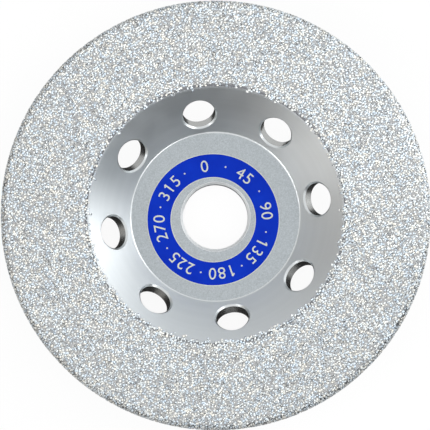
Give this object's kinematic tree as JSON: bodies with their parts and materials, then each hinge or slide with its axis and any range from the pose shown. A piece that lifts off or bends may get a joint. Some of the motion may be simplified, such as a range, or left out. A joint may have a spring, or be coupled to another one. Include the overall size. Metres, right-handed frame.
{
  "type": "diamond grinding wheel",
  "caption": "Dished steel grinding disc with a diamond-coated face and rim, a recessed hub with a central bore, vents through the cone and a thin label ring.",
  "frame": {"origin": "centre of the bore in the plane of the hub's back face, which is the surface that the wheel lies on", "axes": "+Z along the spindle axis, out of the grinding face; +X through the middle of a vent"},
  "size_m": [0.105, 0.105, 0.0138],
  "materials": {
    "steel_body": "satin, fine turned steel with a matt hub floor",
    "nickel_bond": "matt grey nickel",
    "diamond_grit": "sparkling silver-grey crystals flashed with nickel",
    "label_film": "matt cream film",
    "label_print": "flat blue ink"
  },
  "bodies": {
    "root": {"steel_body": "steel_body", "nickel_bond": "nickel_bond", "diamond_grit_face": "diamond_grit", "diamond_grit_edge": "diamond_grit", "label_film": "label_film", "label_print": "label_print"}
  },
  "joints": []
}
